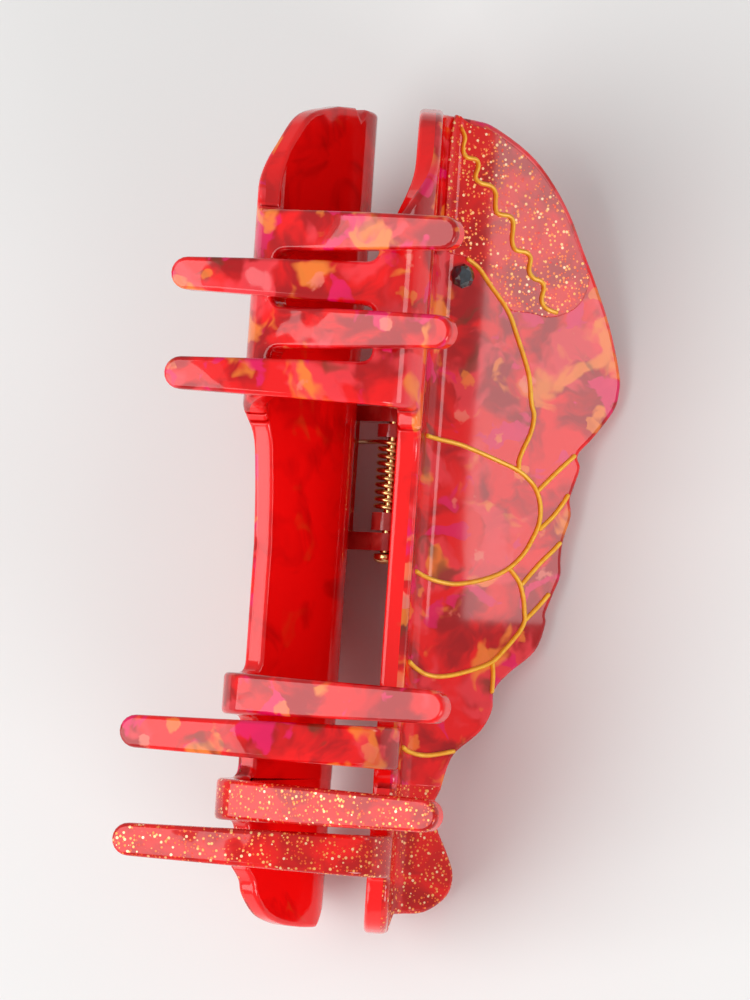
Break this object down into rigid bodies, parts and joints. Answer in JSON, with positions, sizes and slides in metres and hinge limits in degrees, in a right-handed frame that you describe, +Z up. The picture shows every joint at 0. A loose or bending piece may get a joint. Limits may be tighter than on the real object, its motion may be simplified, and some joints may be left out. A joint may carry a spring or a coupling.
{
  "type": "hair claw clip",
  "caption": "Lobster-shaped hair claw: two bent glossy acetate halves with long interleaving teeth that turn on a sprung hinge pin.",
  "frame": {"origin": "bottom centre of the closed clip, on the floor it lies on", "axes": "+Y towards the lobster's head along the length, +X towards the front half, +Z up towards the teeth"},
  "size_m": [0.0524, 0.1046, 0.0502],
  "materials": {
    "marbled_acetate": "polished red marbled acetate",
    "glitter_acetate": "polished red acetate with glitter",
    "glitter_inlay": "red glitter under clear lacquer",
    "gold_line": "raised gold line",
    "black_stone": "faceted black flat-back stone",
    "hinge_acetate": "red acetate",
    "gold_metal": "gold-plated metal"
  },
  "bodies": {
    "front_half": {"front_shell": "marbled_acetate", "front_tail_panel": "glitter_acetate", "front_claw_plate": "glitter_inlay", "front_claw_line": "gold_line", "front_shell_line": "gold_line", "front_band_line_1": "gold_line", "front_band_line_2": "gold_line", "front_band_line_3": "gold_line", "front_leg_line_1": "gold_line", "front_leg_line_2": "gold_line", "front_leg_line_3": "gold_line", "front_leg_line_4": "gold_line", "front_leg_line_5": "gold_line", "front_eye_stone": "black_stone", "front_hinge_block": "hinge_acetate", "hinge_pin": "gold_metal", "pin_cap_head": "gold_metal", "pin_cap_tail": "gold_metal", "torsion_spring": "gold_metal"},
    "rear_half": {"rear_shell": "marbled_acetate", "rear_tail_panel": "glitter_acetate", "rear_claw_plate": "glitter_inlay", "rear_claw_line": "gold_line", "rear_shell_line": "gold_line", "rear_band_line_1": "gold_line", "rear_band_line_2": "gold_line", "rear_band_line_3": "gold_line", "rear_leg_line_1": "gold_line", "rear_leg_line_2": "gold_line", "rear_leg_line_3": "gold_line", "rear_leg_line_4": "gold_line", "rear_leg_line_5": "gold_line", "rear_eye_stone": "black_stone", "rear_hinge_block": "hinge_acetate"}
  },
  "joints": [
    {"name": "jaw_hinge", "type": "hinge", "parent": "front_half", "child": "rear_half", "pos_m": [0, 0.00682, 0.01205], "axis": [0, -0.9861, -0.1662], "range_deg": [0, 75], "stiffness_Nm_per_rad": 0.1, "springref_deg": -51.57, "deforming": ["torsion_spring"]}
  ]
}
